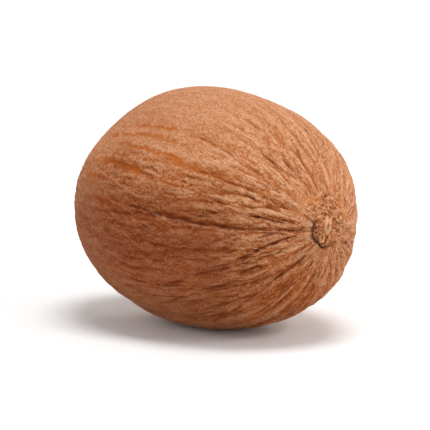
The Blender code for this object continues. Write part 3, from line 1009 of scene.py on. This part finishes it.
    rough = shading.spread(granule, 0.3, 0.7, 0.66, 0.86)
    shading.tree.links.new(rough, shader.inputs["Roughness"])
    shader.inputs["Specular IOR Level"].default_value = 0.10

    bumpy = shading.node("ShaderNodeBump", {"Height": height, "Strength": 1.0, "Distance": 0.095 * MM})
    shading.tree.links.new(bumpy.outputs["Normal"], shader.inputs["Normal"])
    return material


# ---------------------------------------------------------------- floor, light and camera

FLOOR_RADIUS = 0.75
FLOOR_RISE = 0.55
FLOOR_COLOUR = (0.86, 0.86, 0.86, 1.0)
CAMERA_AZIMUTH = 50.2
CAMERA_ELEVATION = 9.2
CAMERA_DISTANCE = 0.2424
CAMERA_LENS = 250.0
CAMERA_DROP = 0.69 * MM


def camera_axes():
    """Unit vectors from the seed towards the camera, to its right and up."""
    azimuth = math.radians(CAMERA_AZIMUTH)
    elevation = math.radians(CAMERA_ELEVATION)
    back = Vector((
        math.sin(azimuth) * math.cos(elevation), -math.cos(azimuth) * math.cos(elevation), math.sin(elevation)))
    right = Vector((math.cos(azimuth), math.sin(azimuth), 0.0))
    return back, right, back.cross(right)


def floor_object():
    """A round pale floor that curves up into a low wall, so that no edge shows."""
    rows = 40
    sides = 96
    vertices = [(0.0, 0.0, 0.0)]
    for row in range(1, rows + 1):
        out = row / rows
        lift = max(0.0, out - 0.45) / 0.55
        radius = FLOOR_RADIUS * (out if lift == 0.0 else 0.45 + 0.55 * math.sin(lift * math.pi / 2))
        rise = FLOOR_RISE * (1.0 - math.cos(lift * math.pi / 2))
        for side in range(sides):
            angle = math.tau * side / sides
            vertices.append((radius * math.cos(angle), radius * math.sin(angle), rise))
    faces = [(0, 1 + side, 1 + (side + 1) % sides) for side in range(sides)]
    for row in range(rows - 1):
        for side in range(sides):
            after = (side + 1) % sides
            inner = 1 + row * sides
            outer = inner + sides
            faces.append((inner + side, outer + side, outer + after, inner + after))
    mesh = bpy.data.meshes.new("floor")
    mesh.from_pydata(vertices, [], faces)
    mesh.shade_smooth()
    material = bpy.data.materials.new("floor")
    material.use_nodes = True
    shader = material.node_tree.nodes["Principled BSDF"]
    shader.inputs["Base Color"].default_value = FLOOR_COLOUR
    shader.inputs["Roughness"].default_value = 0.9
    shader.inputs["Specular IOR Level"].default_value = 0.1
    mesh.materials.append(material)
    floor = bpy.data.objects.new("floor", mesh)
    bpy.context.scene.collection.objects.link(floor)


def area_light(name, direction, distance, size, power, target):
    light = bpy.data.lights.new(name, "AREA")
    light.shape = "DISK"
    light.size = size
    light.energy = power
    lamp = bpy.data.objects.new(name, light)
    lamp.location = target + direction.normalized() * distance
    lamp.rotation_mode = "QUATERNION"
    lamp.rotation_quaternion = direction.to_track_quat("Z", "Y")
    bpy.context.scene.collection.objects.link(lamp)


def studio():
    back, right, up = camera_axes()
    middle = Vector((0.0, 0.0, (cad_low.z + cad_high.z) / 2))
    area_light("key", right * 0.12 + up * 1.0 + back * 0.30, 0.95, 0.45, 5.7, middle)
    area_light("side", right * 0.70 + up * 0.45 + back * 0.60, 0.95, 0.35, 6.5, middle)
    area_light("fill", right * -0.75 + up * 0.45 + back * 0.55, 0.95, 0.45, 0.7, middle)
    area_light("rim_left", right * -0.55 + up * 0.45 - back * 0.80, 0.65, 0.30, 0.3, middle)
    area_light("rim_right", right * 0.60 + up * 0.40 - back * 0.75, 0.65, 0.30, 1.3, middle)
    world = bpy.data.worlds.new("studio")
    world.use_nodes = True
    world.node_tree.nodes["Background"].inputs["Color"].default_value = (1.0, 1.0, 1.0, 1.0)
    world.node_tree.nodes["Background"].inputs["Strength"].default_value = 0.31
    bpy.context.scene.world = world
    bpy.context.scene.view_settings.view_transform = "Standard"


def camera_object():
    back, right, up = camera_axes()
    lens = bpy.data.cameras.new("camera")
    lens.lens = CAMERA_LENS
    lens.clip_start = 0.01
    lens.clip_end = 10.0
    camera = bpy.data.objects.new("camera", lens)
    target = Vector((0.0, 0.0, (cad_low.z + cad_high.z) / 2)) - up * CAMERA_DROP
    camera.location = target + back * CAMERA_DISTANCE
    camera.rotation_mode = "QUATERNION"
    camera.rotation_quaternion = back.to_track_quat("Z", "Y")
    bpy.context.scene.collection.objects.link(camera)
    bpy.context.scene.camera = camera


camera_object()
studio()
floor_object()
skin = skin_object()
skin.data.materials.append(skin_material())
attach(skin, "root")
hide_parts("nutmeg")
